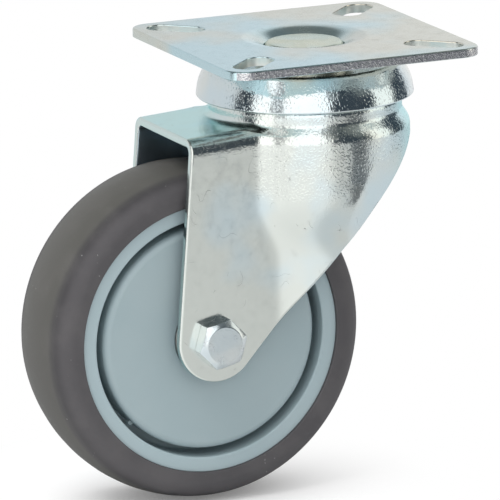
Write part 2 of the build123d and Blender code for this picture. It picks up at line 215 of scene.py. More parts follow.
def on_swivel(radius, height):
    return Vector((radius, 0, height)) * mm


plate = basic(
    "slotted_plate", bpy.ops.mesh.primitive_cube_add, size=mm,
    location=(0, 0, -plate_sheet / 2 * mm), scale=(plate_side, plate_side, plate_sheet),
)
pick(plate, "EDGE", lambda middle, way: abs(way.z) > 0.9)
bpy.ops.mesh.bevel(offset=plate_corner * mm, segments=10, affect="EDGES")
done()
pick(plate, "EDGE", lambda middle, way: middle.z > -0.01 and abs(way.z) < 0.1)
bpy.ops.mesh.bevel(offset=plate_roll * mm, segments=4, affect="EDGES")
done()
pick(plate, "EDGE", lambda middle, way: middle.z < 0.01 - plate_sheet and abs(way.z) < 0.1)
bpy.ops.mesh.bevel(offset=0.12 * mm, segments=1, affect="EDGES")
done()
# The slot cutter, drawn out of a round and flared where the punch rolled the edge over
cutter_depth = 4.0
cutter = basic(
    "cutter", bpy.ops.mesh.primitive_cylinder_add, vertices=40, radius=slot_width / 2 * mm,
    depth=cutter_depth * mm, location=(0, 0, (-slot_roll - cutter_depth / 2) * mm),
    rotation=(0, 0, radians(4.5)),
)
pick(cutter, "VERT", lambda spot: spot.x > 0)
bpy.ops.transform.translate(value=(slot_travel * mm, 0, 0))
done()
pick(cutter, "FACE", lambda middle, way: way.z > 0.9)
slot_length = slot_width + slot_travel
for lift, spread in ((0.17, 0.06), (0.08, 0.19)):
    bpy.ops.mesh.extrude_region_move(TRANSFORM_OT_translate={"value": (0, 0, lift * mm)})
    bpy.ops.transform.resize(
        value=(1 + 2 * spread / slot_length, 1 + 2 * spread / slot_width, 1),
        center_override=(slot_travel / 2 * mm, 0, 0),
    )
bpy.ops.mesh.extrude_region_move(TRANSFORM_OT_translate={"value": (0, 0, mm)})
done()
slot_start = slot_place * 2**0.5 - slot_travel / 2
for corner_turn in (45, 135, 225, 315):
    turn = radians(corner_turn)
    slot = twin(cutter, "slot")
    slot.rotation_euler.z = turn
    slot.location = (slot_start * mm * cos(turn), slot_start * mm * sin(turn), 0)
    shape_with(plate, settle(slot))
bpy.data.objects.remove(cutter)
punch = basic(
    "punch", bpy.ops.mesh.primitive_cylinder_add, vertices=swivel_steps,
    radius=dish_mouth * mm, depth=6 * mm, location=(0, 0, -mm),
)
shape_with(plate, punch)
pick(
    plate, "FACE",
    lambda middle, way: abs(way.z) < 0.5 and hypot(middle.x, middle.y) < dish_mouth + 0.1,
)
bpy.ops.mesh.delete(type="FACE")
done()
# The dish, its upper and lower face, is turned on its own and joined to the hole's edges
turned(
    "dish",
    rounded(
        [
            (dish_mouth, 0), (11.1, 0), (dish_wall, -1.846), (dish_wall, dish_floor),
            (plate_bore, dish_floor),
        ],
        [7.0, 0.6, 0.7],
    )
    + rounded(
        [
            (plate_bore, head_underside), (dish_rim, head_underside), (dish_rim, -2.779),
            (11.83, -plate_sheet), (dish_mouth, -plate_sheet),
        ],
        [0.8, 0.9, 2.0],
    ),
    on_swivel, upright, swivel_steps,
)
plate.select_set(True)
bpy.context.view_layer.objects.active = plate
bpy.ops.object.join()
pick_all(plate)
bpy.ops.mesh.remove_doubles(threshold=0.005 * mm)
bpy.ops.mesh.normals_make_consistent(inside=False)
done()
smooth_shade(plate, 32)


def feed(tree, socket, value):
    """Link another node's output to the socket, or set the socket to a plain value."""
    if isinstance(value, bpy.types.NodeSocket):
        tree.links.new(value, socket)
    else:
        socket.default_value = value


def add(tree, kind, inputs, **settings):
    """Place a node with its settings, each input a plain value or another node's output."""
    node = tree.nodes.new(kind)
    for label, value in settings.items():
        setattr(node, label, value)
    for label, value in inputs.items():
        feed(tree, node.inputs[label], value)
    return node


def fade(tree, value, low, high, bottom=0.0, top=1.0):
    """The value stretched smoothly from low..high to bottom..top."""
    return add(
        tree, "ShaderNodeMapRange",
        {"Value": value, "From Min": low, "From Max": high, "To Min": bottom, "To Max": top},
        interpolation_type="SMOOTHSTEP",
    ).outputs["Result"]


def blend(tree, share, first, second):
    """Two colours mixed by share."""
    mix = add(tree, "ShaderNodeMix", {0: share, 6: first, 7: second}, data_type="RGBA")
    return mix.outputs[2]


def sums(tree, way, first, second=0.0, third=0.0):
    """One step of arithmetic."""
    return add(
        tree, "ShaderNodeMath", {0: first, 1: second, 2: third}, operation=way
    ).outputs[0]


def noise(tree, spot, size, detail=2.0, rough=0.5):
    """Cloudy noise whose lumps are about size millimetres across."""
    if isinstance(size, bpy.types.NodeSocket):
        scale = sums(tree, "DIVIDE", 1 / mm, size)
    else:
        scale = 1 / (size * mm)
    return add(
        tree, "ShaderNodeTexNoise",
        {"Vector": spot, "Scale": scale, "Detail": detail, "Roughness": rough},
    ).outputs["Fac"]


def start_group(name, inputs):
    """A node group for a finish, with its inputs and the place on the piece."""
    tree = bpy.data.node_groups.new(name, "ShaderNodeTree")
    for label, value in inputs.items():
        kind = "Float" if isinstance(value, float) else {3: "Vector", 4: "Color"}[len(value)]
        socket = tree.interface.new_socket(label, in_out="INPUT", socket_type="NodeSocket" + kind)
        socket.default_value = value
    for label, kind in (("Color", "Color"), ("Roughness", "Float"), ("Normal", "Vector")):
        tree.interface.new_socket(label, in_out="OUTPUT", socket_type="NodeSocket" + kind)
    spot = add(tree, "ShaderNodeTexCoord", {}).outputs["Object"]
    return tree, tree.nodes.new("NodeGroupInput").outputs, spot


def close_group(tree, colour, roughness, height, depth):
    """End a finish's group with its colour, its roughness and its relief, depth metres deep."""
    bump = add(tree, "ShaderNodeBump", {"Strength": 1.0, "Distance": depth, "Height": height})
    out = tree.nodes.new("NodeGroupOutput").inputs
    tree.links.new(colour, out["Color"])
    tree.links.new(roughness, out["Roughness"])
    tree.links.new(bump.outputs["Normal"], out["Normal"])


# Bright zinc: cloudy passivation tints, a fine orange peel where the sheet was worked, dull blots
# and short curved hair marks
zinc, given, spot = start_group(
    "zinc_finish",
    {
        "Cool": (0.66, 0.72, 0.76, 1), "Warm": (0.74, 0.72, 0.68, 1), "Cloud Size": 30.0,
        "Worked": 0.5, "Gloss": 0.2, "Marks": 0.0, "Warm Side": (0, 0, 0),
    },
)
lean = add(
    zinc, "ShaderNodeVectorMath", {0: spot, 1: given["Warm Side"]}, operation="DOT_PRODUCT"
).outputs["Value"]
cloud = sums(zinc, "ADD", noise(zinc, spot, given["Cloud Size"], 2.5, 0.55), lean)
tint = blend(zinc, fade(zinc, cloud, 0.38, 0.62), given["Cool"], given["Warm"])
blots = noise(zinc, spot, 3.2, 4.0, 0.65)
tint = blend(zinc, fade(zinc, blots, 0.60, 0.76, 0.0, 0.22), tint, (0.50, 0.51, 0.50, 1))
hairs = sums(zinc, "ABSOLUTE", sums(zinc, "SUBTRACT", noise(zinc, spot, 3.0, 0.0), 0.5))
patches = fade(zinc, noise(zinc, spot, 3.6, 0.0), 0.63, 0.67)
hairs = sums(zinc, "MULTIPLY", fade(zinc, hairs, 0.002, 0.007, 1.0, 0.0), patches)
hairs = sums(zinc, "MULTIPLY", hairs, given["Marks"])
tint = blend(zinc, sums(zinc, "MULTIPLY", hairs, 0.45), tint, (0.22, 0.23, 0.23, 1))
gloss = sums(zinc, "MULTIPLY_ADD", fade(zinc, blots, 0.35, 0.75), 0.10, given["Gloss"])
gloss = sums(zinc, "MULTIPLY_ADD", hairs, 0.25, gloss)
pits = fade(zinc, noise(zinc, spot, 0.5, 1.0, 0.6), 0.46, 0.78)
peel = sums(zinc, "MULTIPLY_ADD", noise(zinc, spot, 2.4, 1.0), 1.3, pits)
peel = sums(zinc, "MULTIPLY", peel, given["Worked"])
peel = sums(zinc, "MULTIPLY_ADD", noise(zinc, spot, 11.0, 1.0), 0.25, peel)
close_group(zinc, tint, gloss, peel, 0.024 * mm)

# The torn edge that a shear leaves: coarse grain, dull between its sparkles
torn, given, spot = start_group("torn_edge", {"Grain Size": 0.34, "Depth": 0.05})
grain = noise(torn, spot, given["Grain Size"])
lumps = sums(torn, "MULTIPLY", noise(torn, spot, 0.9, 1.0), 0.8)
close_group(
    torn,
    blend(torn, fade(torn, grain, 0.4, 0.6), (0.40, 0.40, 0.44, 1), (0.78, 0.78, 0.78, 1)),
    fade(torn, grain, 0.35, 0.65, 0.42, 0.2),
    sums(torn, "ADD", grain, lumps),
    sums(torn, "MULTIPLY", given["Depth"], mm),
)


def finish(name, group, values, metallic=1.0, edge_tint=None):
    """A material that takes its colour, roughness and grain from a node group."""
    material = bpy.data.materials.new(name)
    material.use_nodes = True
    tree = material.node_tree
    shader = tree.nodes["Principled BSDF"]
    shader.inputs["Metallic"].default_value = metallic
    if edge_tint:
        shader.inputs["Specular Tint"].default_value = edge_tint
    coat = add(tree, "ShaderNodeGroup", {}, node_tree=group)
    for label, value in values.items():
        coat.inputs[label].default_value = value
    tree.links.new(coat.outputs["Color"], shader.inputs["Base Color"])
    tree.links.new(coat.outputs["Roughness"], shader.inputs["Roughness"])
    tree.links.new(coat.outputs["Normal"], shader.inputs["Normal"])
    return material


plate_zinc = finish(
    "plate_zinc", zinc,
    {
        "Cool": (0.56, 0.72, 0.755, 1), "Warm": (0.70, 0.67, 0.575, 1), "Cloud Size": 34.0,
        "Worked": 0.0, "Gloss": 0.2, "Marks": 0.3, "Warm Side": (4.0, 2.0, 0),
    },
    edge_tint=(0.93, 0.97, 1.0, 1),
)
torn_edge = finish("torn_edge", torn, {"Grain Size": 0.36, "Depth": 0.09})
punched_zinc = finish(
    "punched_zinc", zinc,
    {
        "Cool": (0.62, 0.71, 0.70, 1), "Warm": (0.74, 0.76, 0.72, 1), "Cloud Size": 5.0,
        "Worked": 0.25, "Gloss": 0.40,
    },
)
plate.data.materials.append(plate_zinc)
plate.data.materials.append(torn_edge)
plate.data.materials.append(punched_zinc)
# The two long sheared sides and the corner beside them are torn, the slots' walls punched
side_reach = plate_side / 2 - 1.6
pick(
    plate, "FACE",
    lambda middle, way: abs(way.z) < 0.3
    and (abs(middle.y) > side_reach or middle.x > side_reach and middle.y < -26.5),
)
plate.active_material_index = 1
bpy.ops.object.material_slot_assign()
done()
pick(
    plate, "FACE",
    lambda middle, way: abs(way.z) < 0.3
    and max(abs(middle.x), abs(middle.y)) < side_reach
    and hypot(middle.x, middle.y) > dish_mouth + 1,
)
plate.active_material_index = 2
bpy.ops.object.material_slot_assign()
done()
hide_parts("top_plate")
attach(plate, "plate")

# ---------------- race cup
# Cold-formed steel ring clamped under the plate by the kingpin. The upper balls run in its inside
# corner, and its bowed skirt flares out over the fork's neck and ends in a rounded rim.
groove_radius = 2.54  # the balls' radius and their clearance
upper_pitch = 18.4
upper_ball_z = -9.24
cup_roof = -6.7
cup_foot = -12.6
cup_bore = upper_pitch + groove_radius
cup = turned(
    "race_cup_ring",
    rounded(
        [
            (plate_bore, head_underside), (21.5, head_underside), (23.6, -9.2),
            (24.1, cup_foot), (23.1, cup_foot), (cup_bore, upper_ball_z), (cup_bore, cup_roof),
            (plate_bore, cup_roof), (plate_bore, head_underside),
        ],
        [1.6, 9.0, 0.35, 0.3, 0, groove_radius, 0],
        6.0,
    ),
    on_swivel, upright, 128,
)
worked_zinc = finish(
    "worked_zinc", zinc,
    {
        "Cool": (0.66, 0.755, 0.795, 1), "Warm": (0.74, 0.765, 0.735, 1), "Cloud Size": 18.0,
        "Worked": 1.0, "Gloss": 0.09,
    },
)
cup.data.materials.append(worked_zinc)
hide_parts("race_cup")
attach(cup, "plate")

# ---------------- kingpin
# Stepped steel rivet through the whole head: a flat head in the plate's dish, a collar that sets
# the play of the races, and a foot spun over in the lower race's hollow.
pin_head = 8.6
pin_shank = 5.0
pin_collar = 6.9
pin_foot = 6.2
pin_end = -15.08
race_top = -11.28  # the lower race is clamped between collar and foot
race_sheet = 1.8
race_under = race_top - race_sheet
kingpin = turned(
    "kingpin_rivet",
    rounded(
        [
            (0, -1.0), (pin_head, -1.05), (pin_head, dish_floor), (pin_shank, dish_floor),
            (pin_shank, cup_roof), (pin_collar, cup_roof), (pin_collar, race_top),
            (pin_shank, race_top), (pin_shank, race_under), (pin_foot, race_under),
            (pin_foot, pin_end), (2.2, pin_end), (0, -14.3),
        ],
        [0.8, 0, 0, 0, 0.3, 0.3, 0, 0, 0.3, 1.2, 1.0],
    ),
    on_swivel, upright, swivel_steps,
)
pin_zinc = finish(
    "pin_zinc", zinc,
    {
        "Cool": (0.56, 0.66, 0.60, 1), "Warm": (0.63, 0.67, 0.55, 1), "Cloud Size": 9.0,
        "Worked": 0.15, "Gloss": 0.26, "Marks": 0.4,
    },
)
kingpin.data.materials.append(pin_zinc)
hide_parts("kingpin")
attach(kingpin, "plate")

# ---------------- balls
# Two full rings of 5 mm balls, ground from hardened steel. They lie loose in their grooves, the
# larger ring above, under a film of grease.
steel, given, spot = start_group(
    "greased_steel", {"Metal": (0.6, 0.6, 0.61, 1), "Grease": 0.3}
)
film = fade(steel, noise(steel, spot, 2.2, 3.0), 0.4, 0.7)
greased = sums(steel, "MULTIPLY", film, given["Grease"])
close_group(
    steel,
    blend(steel, greased, given["Metal"], (0.44, 0.40, 0.32, 1)),
    fade(steel, film, 0.0, 1.0, 0.06, 0.28),
    noise(steel, spot, 0.5),
    0.01 * mm,
)
ball_steel = finish("ball_steel", steel, {})
ball_radius = 2.5
lower_pitch = 11.3
lower_ball_z = -12.24
for name, count, pitch, height in (
    ("upper_balls", 22, upper_pitch, upper_ball_z),
    ("lower_balls", 13, lower_pitch, lower_ball_z),
):
    balls = basic(
        name.replace("balls", "ball_ring"), bpy.ops.mesh.primitive_uv_sphere_add,
        segments=32, ring_count=16, radius=ball_radius * mm, location=on_swivel(pitch, height),
    )
    pick_all(balls)
    bpy.ops.mesh.spin(
        steps=count - 1, angle=2 * pi * (count - 1) / count,
        center=(0, 0, 0), axis=upright, dupli=True,
    )
    done()
    bpy.ops.object.shade_smooth()
    balls.data.materials.append(ball_steel)
    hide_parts(name)
    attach(balls, name.replace("balls", "ball_ring"))

# ---------------- lower race
# Dish pressed from steel sheet and zinc plated, riveted to the kingpin's foot. Its turned-out
# rim carries the lower balls.
race_land = lower_ball_z - groove_radius
race_rim = 13.2
lower_race = turned(
    "lower_race_dish",
    rounded(
        [
            (plate_bore, race_top), (7.8128, race_top), (9.8335, race_land),
            (race_rim, race_land),
        ],
        [2.5, groove_radius],
    )
    + rounded(
        [
            (race_rim, race_land - race_sheet), (8.794, race_land - race_sheet),
            (6.773, race_under), (plate_bore, race_under), (plate_bore, race_top),
        ],
        [groove_radius + race_sheet, 0.7, 0],
    ),
    on_swivel, upright, swivel_steps,
)
lower_race.data.materials.append(worked_zinc)
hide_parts("lower_race")
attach(lower_race, "plate")

# ---------------- fork
# One 2 mm steel sheet, pressed in several draws and zinc plated. The crown is drawn up into two
# ball grooves and a neck, the back into a round bowl, and the bowl runs out into a flat hood and
# two flat legs that hold the axle. Its cut edges are tumbled, so they are eased all round.
axle_x = -28.8
axle_z = -62.5
fork_sheet = 2.0
neck_radius = 21.4
crease_z = -15.98
crease_bend = 1.5
shoulder_z = -18.6
shoulder_bend = 4.0
shoulder_drop = radians(57)
leg_y = 16.0
leg_blend = 2.6  # how gently the bowl runs into the legs
hood_x = -34.2
hood_front_z = -17.3
hood_slope = 0.9 / 12.8
hood_bend = 3.2
hood_drop = radians(1)
foot_radius = 9.1
bowl_radius = 23.1
belly_depth = 24.0
side_belly = 8.0  # how much lower the belly reaches at the sides
waist_depth = 46.0
waist_draw = 3.2
skirt_x = 20.5
skirt_z = -21.2
skirt_bend = 5.0


def hood_z(x):
    """The hood's top face falls a little towards its front edge."""
    return hood_front_z + hood_slope * (x - hood_x)


def ease(value, low, high):
    """How far the value is from low to high, 0 to 1, with a soft start and end."""
    share = min(1.0, max(0.0, (value - low) / (high - low)))
    return share * share * (3 - 2 * share)


def wall_r(turn, z):
    """Outer wall's distance from the swivel axis: the bowl, run smoothly into the flat leg.

    The turn is measured from the front. Below its belly the bowl draws in to a waist.
    """
    belly = belly_depth + side_belly * ease(turn, radians(112), radians(92))
    bowl = bowl_radius - waist_draw * ease(-z, belly, waist_depth)
    leg = leg_y / max(sin(turn), 0.001) if turn < pi / 2 else leg_y
    over = max(leg_blend - abs(bowl - leg), 0.0)
    return max(bowl, leg) + over * over / (4 * leg_blend)


def wall_point(turn, z):
    reach = wall_r(turn, z)
    return np.array([-reach * cos(turn), reach * sin(turn), z])


def wall_turn(x, z):
    """The turn at which the wall has this x at this height."""
    low, high = radians(15), pi
    for _ in range(40):
        middle = (low + high) / 2
        if -wall_r(middle, z) * cos(middle) < x:
            low = middle
        else:
            high = middle
    return (low + high) / 2


def touch(start, side):
    """The angle at which the line from start touches the round end about the axle."""
    dx, dz = start[0] - axle_x, start[1] - axle_z
    return (atan2(dz, dx) + side * acos(foot_radius / hypot(dx, dz))) % (2 * pi)


def on_foot(swing):
    return (axle_x + foot_radius * cos(swing), axle_z + foot_radius * sin(swing))


def arc3(start, corner, end, count):
    """count points on the arc that leaves start towards corner and arrives at end."""
    first, second = start - corner, end - corner
    run = np.linalg.norm(first)
    first, second = first / run, second / np.linalg.norm(second)
    turn = pi - acos(max(-1.0, min(1.0, float(first @ second))))
    if turn < 0.001:
        return [start + (end - start) * share for share in np.linspace(0, 1, count)]
    radius = run / tan(turn / 2)
    toward = (first + second) / np.linalg.norm(first + second)
    centre = corner + toward * (radius / cos(turn / 2))
    out_way = (start - centre) / radius
    return [
        centre + radius * (out_way * cos(angle) - first * sin(angle))
        for angle in np.linspace(0, turn, count)
    ]


# The wall's lower edge from the side: round the axle end, up the back and along the skirt
foot_steps = 29
back_steps = 90
front_swing = touch((hood_x, hood_z(hood_x)), 1)
back_swing = touch((skirt_x, skirt_z), -1)
if back_swing < front_swing:
    back_swing += 2 * pi
back_edge = rounded(
    [on_foot(back_swing), (skirt_x, skirt_z), (bowl_radius, skirt_z)], [skirt_bend], 4.0
)
along = np.cumsum([0] + [(end - start).length for start, end in zip(back_edge, back_edge[1:])])
back_edge = [
    [np.interp(run, along, [spot[axis] for spot in back_edge]) for axis in (0, 1)]
    for run in np.linspace(0, along[-1], back_steps)
]

# Columns of the sheet from the middle of the front edge round one side to the middle of the back,
# each with its turn under the shoulder, its turn at the lower edge and its height there
front_steps = 12
columns = []
for step in range(front_steps):
    columns.append((hood_x, (leg_y - hood_bend) * step / front_steps))
for step in range(foot_steps):
    share = step / foot_steps
    x, z = on_foot(front_swing + (back_swing - front_swing) * share)
    top_x = hood_x + (back_edge[0][0] - hood_x) * share
    columns.append((wall_turn(top_x, shoulder_z), wall_turn(x, z), z))
for x, z in back_edge:
    if x < bowl_radius - waist_draw * ease(-z, belly_depth, waist_depth - 1) - 0.001:
        columns.append((wall_turn(x, z), wall_turn(x, z), z))
last_turn = columns[-1][0]
skirt_steps = ceil((pi - last_turn) * bowl_radius)
for step in range(1, skirt_steps + 1):
    turn = last_turn + (pi - last_turn) * step / skirt_steps
    columns.append((turn, turn, skirt_z))

web_bend = 0.40197  # tangent of half the web's flank angle
crown_z = lower_ball_z + groove_radius + fork_sheet
groove_z = upper_ball_z - groove_radius
crown = rounded(
    [
        (9.0, crown_z), (lower_pitch + (groove_radius + fork_sheet) * web_bend, crown_z),
        (upper_pitch - groove_radius * web_bend, groove_z), (neck_radius, groove_z),
        (neck_radius, crease_z + 1.6),
    ],
    [groove_radius + fork_sheet, groove_radius, 2.2],
    7.0,
)
crease_points, flange_steps, fold_points, wall_steps = 7, 9, 8, 46


def column_points(column):
    """Points down one column: crown, neck, crease, flange, shoulder and wall."""
    wall = len(column) == 3
    if wall:
        top_turn, foot_turn, foot_z = column
        edge = wall_point(top_turn, shoulder_z)
        nudge = 0.004
        ahead = wall_point(top_turn + nudge, shoulder_z) - wall_point(top_turn - nudge, shoulder_z)
        normal = np.array([-ahead[1], ahead[0], 0.0]) / hypot(ahead[0], ahead[1])
        normal *= 1 if normal @ edge > 0 or normal[1] * edge[1] > 0 else -1
        reach = hypot(edge[0], edge[1])
        flat = ease(reach - neck_radius, 1.75, 6.5) if edge[0] < 0 else 0.0
        drop = shoulder_drop * (1 - flat) + hood_drop * flat
        radius = shoulder_bend * (1 - flat) + hood_bend * flat
        run = radius * tan((pi / 2 - drop) / 2)
        corner = edge + [0, 0, (hood_z(edge[0]) - shoulder_z) * flat]
        end = corner - normal * run * cos(drop) + [0, 0, run * sin(drop)]
        foot = corner - [0, 0, run]
    else:
        flat = 1.0
        end = np.array([column[0], column[1], hood_z(column[0])])
    around = atan2(end[1], -end[0])
    out_way = np.array([-cos(around), sin(around), 0.0])
    crease = out_way * neck_radius
    crease[2] = crease_z * (1 - flat) + hood_z(crease[0]) * flat
    away = end - crease
    length = np.linalg.norm(away)
    away /= length
    run = min(crease_bend * tan(acos(max(-1.0, min(1.0, float(-away[2])))) / 2), 0.8 * length)
    second = crease + away * run
    points = [out_way * r + [0, 0, z] for r, z in crown]
    points[-1][2] = max(points[-1][2], crease[2] + run + 0.02)
    points += arc3(crease + [0, 0, run], crease, second, crease_points)
    flange = np.linspace(0, 1, flange_steps + 1)[1:]
    points += [second + (end - second) * share for share in flange]
    if not wall:
        return points
    points += arc3(end, corner, foot, fold_points)[1:]
    for share in np.linspace(0, 1, wall_steps + 1)[1:]:
        turn = top_turn + (foot_turn - top_turn) * share
        points.append(wall_point(turn, foot[2] + (foot_z - foot[2]) * share))
    return points


half = [column_points(column) for column in columns]
ring = half + [[spot * [1, -1, 1] for spot in column] for column in half[-2:0:-1]]
rows = max(len(column) for column in half)
fork = basic(
    "pressed_fork", bpy.ops.mesh.primitive_grid_add,
    x_subdivisions=len(ring), y_subdivisions=rows - 1, size=0.1,
)
# The grid's points lie row by row; each is pressed to its place on the sheet, and the points left
# over below the shorter columns go
spots, surplus = [], []
for row in range(rows):
    for index in range(len(ring) + 1):
        column = ring[index % len(ring)]
        spots.append(column[min(row, len(column) - 1)] * mm)
        surplus.append(row >= len(column))
fork.data.vertices.foreach_set("co", np.array(spots).ravel())
fork.data.update()
pick(fork, "VERT", lambda spot: False)
done()
fork.data.vertices.foreach_set("select", surplus)
bpy.ops.object.mode_set(mode="EDIT")
bpy.ops.mesh.delete(type="VERT")
bpy.ops.mesh.select_all(action="SELECT")
bpy.ops.mesh.remove_doubles(threshold=0.01 * mm)
bpy.ops.mesh.normals_make_consistent(inside=False)
done()
if max(fork.data.polygons, key=lambda face: face.center.z).normal.z < 0:
    fork.data.flip_normals()
# The thin columns crowd along the legs' edges, where the rounding needs room: one face takes over
strip_width = 1.8
strip_top = -23.5
leg_lean = 0.084


def in_strip(middle, way):
    if abs(way.y) < 0.9999 or middle.z > strip_top or middle.x > axle_x + 3:
        return False
    if middle.z > axle_z:
        return middle.x < hood_x + (middle.z - shoulder_z) * leg_lean + strip_width
    return hypot(middle.x - axle_x, middle.z - axle_z) > foot_radius - strip_width


pick(fork, "FACE", in_strip)
bpy.ops.mesh.dissolve_limited(angle_limit=radians(0.5))
done()
solid = fork.modifiers.new("sheet", "SOLIDIFY")
solid.thickness = fork_sheet * mm
solid.offset = -1
solid.use_even_offset = True
solid.material_offset = 1


def on_axle(radius, y):
    return Vector((axle_x, y, axle_z + radius)) * mm


axle_hole = 3.1
drill = basic(
    "drill", bpy.ops.mesh.primitive_cylinder_add, vertices=48, radius=axle_hole * mm,
    depth=60 * mm, location=on_axle(0, 0), rotation=(pi / 2, 0, 0),
)
fork_zinc = finish(
    "fork_zinc", zinc,
    {
        "Cool": (0.67, 0.765, 0.795, 1), "Warm": (0.74, 0.77, 0.73, 1), "Cloud Size": 18.0,
        "Gloss": 0.13, "Marks": 1.0, "Warm Side": (-4.5, 0, 0),
    },
    edge_tint=(0.72, 0.97, 1.0, 1),
)
# How hard the sheet was drawn sets its orange peel: most at the crown, shoulders and bends
tree = fork_zinc.node_tree
drawn = add(tree, "ShaderNodeAttribute", {}, attribute_name="drawn").outputs["Fac"]
coat = next(node for node in tree.nodes if node.type == "GROUP")
tree.links.new(drawn, coat.inputs["Worked"])
# Inside, the zinc's colour is painted much darker, as painted shade under the sheet, and its
# plating is duller
shaded_inner_zinc = finish(
    "shaded_inner_zinc", zinc,
    {
        "Cool": (0.24, 0.35, 0.42, 1), "Warm": (0.34, 0.42, 0.46, 1), "Cloud Size": 15.0,
        "Worked": 0.25, "Gloss": 0.28, "Marks": 0.6,
    },
)
fork.data.materials.append(fork_zinc)
fork.data.materials.append(shaded_inner_zinc)
take(fork)
bpy.ops.object.modifier_apply(modifier="sheet")
shape_with(fork, drill)


def ease_edges(piece, width, angle=50, segments=2, clamp=True):
    """Round the piece's sharp edges and shade it smooth."""
    smallest = 0.002
    take(piece)
    edges = piece.modifiers.new("edges", "BEVEL")
    edges.width = width * mm
    edges.segments = segments
    edges.limit_method = "ANGLE"
    edges.angle_limit = radians(angle)
    edges.use_clamp_overlap = clamp
    bpy.ops.object.modifier_apply(modifier="edges")
    pick_all(piece)
    bpy.ops.mesh.remove_doubles(threshold=smallest * mm)
    bpy.ops.mesh.dissolve_degenerate(threshold=smallest * mm)
    done()
    smooth_shade(piece, 35)


ease_edges(fork, 0.5, segments=4, clamp=False)
# Just above the strip the rounding folds a sliver over: the two corners at its tip are merged
fold_x, fold_z, fold_size = -34.0, -23.165, 0.12
pick(
    fork, "VERT",
    lambda spot: abs(abs(spot.y) - leg_y) < 0.001
    and hypot(spot.x - fold_x, spot.z - fold_z) < fold_size,
)
bpy.ops.mesh.remove_doubles(threshold=fold_size * mm)
done()
drawn = fork.data.attributes.new("drawn", "FLOAT", "POINT")
strength = []
for corner in fork.data.vertices:
    x, y, z = corner.co / mm
    bowl = ease(-z, 44.0, 24.0) * ease(hypot(x, y), 26.0, 23.5)
    fold = ease(-z, 22.0, 19.5) * ease(abs(y), 11.5, 13.0) if x < -15 else 0.0
    strength.append(max(0.05, bowl, 0.8 * fold))
drawn.data.foreach_set("value", strength)
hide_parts("fork")
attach(fork, "fork")

# ---------------- tyre
# Soft grey thermoplastic rubber, moulded onto the wheel centre. It has a low crown, round
# shoulders and flat sides, with the dull bloom and light specks of a non-marking tread.
wheel_steps = 192
along_axle = (0, 1, 0)
tyre_seat = 30.1
tyre_side = 12.5
side_top = 35.32
crown_peak = 38.553  # where the two slopes of the tread would meet, before the crown is rounded
shoulder = 4.5
tyre = turned(
    "soft_tyre",
    rounded(
        [
            (tyre_seat, 0), (tyre_seat, -tyre_side), (side_top, -tyre_side), (crown_peak, 0),
            (side_top, tyre_side), (tyre_seat, tyre_side), (tyre_seat, 0),
        ],
        [0.35, shoulder, 32.0, shoulder, 0.35],
        5.0,
    ),
    on_axle, along_axle, wheel_steps,
)
rubber, given, spot = start_group(
    "grey_rubber",
    {"Side": (0.070, 0.066, 0.071, 1), "Tread With Sheen": (0.080, 0.078, 0.070, 1), "Side At": 12.0},
)
# The tread is painted lighter and greener than the sides: a painted sheen where the tread faces
# the light
height = add(rubber, "ShaderNodeSeparateXYZ", {"Vector": spot}).outputs["Y"]
across = sums(rubber, "DIVIDE", sums(rubber, "ABSOLUTE", height), mm)
across = sums(rubber, "DIVIDE", across, given["Side At"])
tone = blend(rubber, fade(rubber, across, 0.55, 0.85), given["Tread With Sheen"], given["Side"])
# Painted shade: the rubber is darker in a band where the tread runs into the shoulder
painted_shade_band = sums(
    rubber, "MULTIPLY",
    fade(rubber, across, 0.58, 0.74, 0.0, 0.3), fade(rubber, across, 0.80, 0.97, 1.0, 0.0),
)
tone = blend(rubber, painted_shade_band, tone, (0, 0, 0, 1))
bloom = noise(rubber, spot, 9.0, 4.0, 0.6)
tone = blend(rubber, fade(rubber, bloom, 0.35, 0.75, 0.0, 0.16), tone, (0.20, 0.19, 0.19, 1))
dust = noise(rubber, spot, 1.3, 2.0, 0.7)
tone = blend(rubber, fade(rubber, dust, 0.73, 0.78, 0.0, 0.6), tone, (0.42, 0.42, 0.42, 1))
lumps = sums(rubber, "MULTIPLY", noise(rubber, spot, 5.0), 2.0)
close_group(
    rubber,
    tone,
    fade(rubber, bloom, 0.3, 0.7, 0.50, 0.62),
    sums(rubber, "ADD", noise(rubber, spot, 0.5, 2.0), lumps),
    0.02 * mm,
)
tyre.data.materials.append(finish("tread_rubber", rubber, {}, metallic=0.0))
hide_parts("tyre")
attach(tyre, "wheel")

# ---------------- wheel centre
# Grey polypropylene, injection moulded in one: rim ring, central web, hub and six ribs on both
# sides of the web. The hub is bored for the bushes.
hub_bore = 6.53
hub_radius = 12
hub_end = 9.7
web_side = 3
pocket_radius = 26.9
rim_side = 11.8
wheel = turned(
    "wheel_core",
    rounded(
        [
            (hub_bore, 0), (hub_bore, -hub_end), (hub_radius, -hub_end),
            (hub_radius, -web_side), (pocket_radius, -web_side), (pocket_radius, -rim_side),
            (tyre_seat, -rim_side), (tyre_seat, rim_side), (pocket_radius, rim_side),
            (pocket_radius, web_side), (hub_radius, web_side), (hub_radius, hub_end),
            (hub_bore, hub_end), (hub_bore, 0),
        ],
        [0.3, 0.3, 0.8, 0.8, 0.4, 0.12, 0.12, 0.4, 0.8, 0.8, 0.3, 0.3],
        20.0,
    ),
    on_axle, along_axle, wheel_steps,
)
rib_count = 6
rib_middle = 17
rib_size = (2.0, 19.0, 11.5)  # across, outward and along the axle
rib = basic(
    "rib", bpy.ops.mesh.primitive_cube_add, size=mm, location=on_axle(rib_middle, 0),
    scale=rib_size,
)
ease_edges(rib, 0.3)
pick_all(rib)
bpy.ops.mesh.spin(
    steps=rib_count - 1, angle=2 * pi * (rib_count - 1) / rib_count,
    center=on_axle(0, 0), axis=along_axle, dupli=True,
)
done()
shape_with(wheel, rib, "UNION")
smooth_shade(wheel, 30)
plastic, given, spot = start_group(
    "moulded_plastic", {"Body": (0.33, 0.415, 0.44, 1), "Grain": 1.0, "Gloss": 0.42}
)
flow = noise(plastic, spot, 14.0, 3.0, 0.6)
